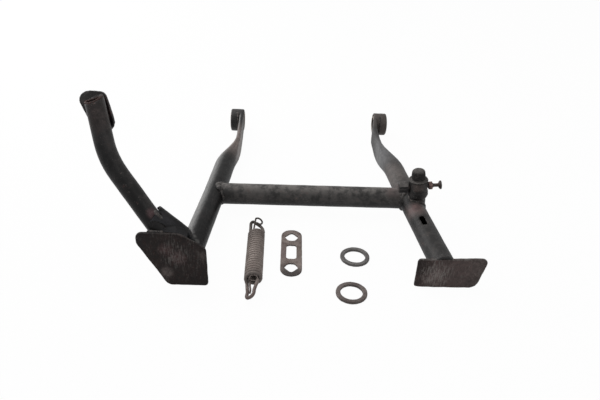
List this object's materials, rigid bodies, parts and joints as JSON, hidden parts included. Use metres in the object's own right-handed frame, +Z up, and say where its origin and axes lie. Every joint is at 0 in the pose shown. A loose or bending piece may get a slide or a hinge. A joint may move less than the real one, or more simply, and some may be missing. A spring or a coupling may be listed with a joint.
{
  "type": "motorcycle centre stand",
  "caption": "Tubular centre stand with splayed legs, foot plates, cross tube, pivot eyes and side lever, lying flat beside its loose return springs, slotted link and washers.",
  "frame": {"origin": "on the ground, under the middle of the stand and its loose pieces together", "axes": "+X to the side with the stop and the anchor screw, +Y from the foot plates towards the pivot eyes, +Z up from the ground that the stand lies on"},
  "size_m": [0.4629, 0.4575, 0.1894],
  "materials": {
    "worn_black_paint": "worn satin",
    "dusty_black_paint": "worn satin with dust",
    "rusted_foot_steel": "rusted",
    "worn_boss_steel": "worn",
    "pivot_bush_bronze": "dull",
    "stop_rubber_black": "dusty matte",
    "red_rust": "rusted",
    "dull_spring_steel": "dull",
    "dull_plate_steel": "dull"
  },
  "bodies": {
    "root": {"left_leg": "worn_black_paint", "right_leg": "dusty_black_paint", "cross_tube": "dusty_black_paint", "left_pivot_boss": "worn_boss_steel", "right_pivot_boss": "worn_boss_steel", "left_pivot_bush": "pivot_bush_bronze", "right_pivot_bush": "pivot_bush_bronze", "left_foot_plate": "rusted_foot_steel", "right_foot_plate": "rusted_foot_steel", "foot_lever": "worn_black_paint", "lever_tread": "worn_black_paint", "lever_gusset": "worn_black_paint", "stop_socket": "rusted_foot_steel", "stop_cup_washer": "rusted_foot_steel", "stop_buffer": "stop_rubber_black", "anchor_lock_nut": "red_rust", "anchor_long_nut": "worn_boss_steel", "spring_anchor_screw": "worn_boss_steel", "outer_spring": "dull_spring_steel", "inner_spring": "dull_spring_steel", "spring_link": "dull_plate_steel", "rear_pivot_washer": "dull_plate_steel", "front_pivot_washer": "dull_plate_steel"}
  },
  "joints": []
}
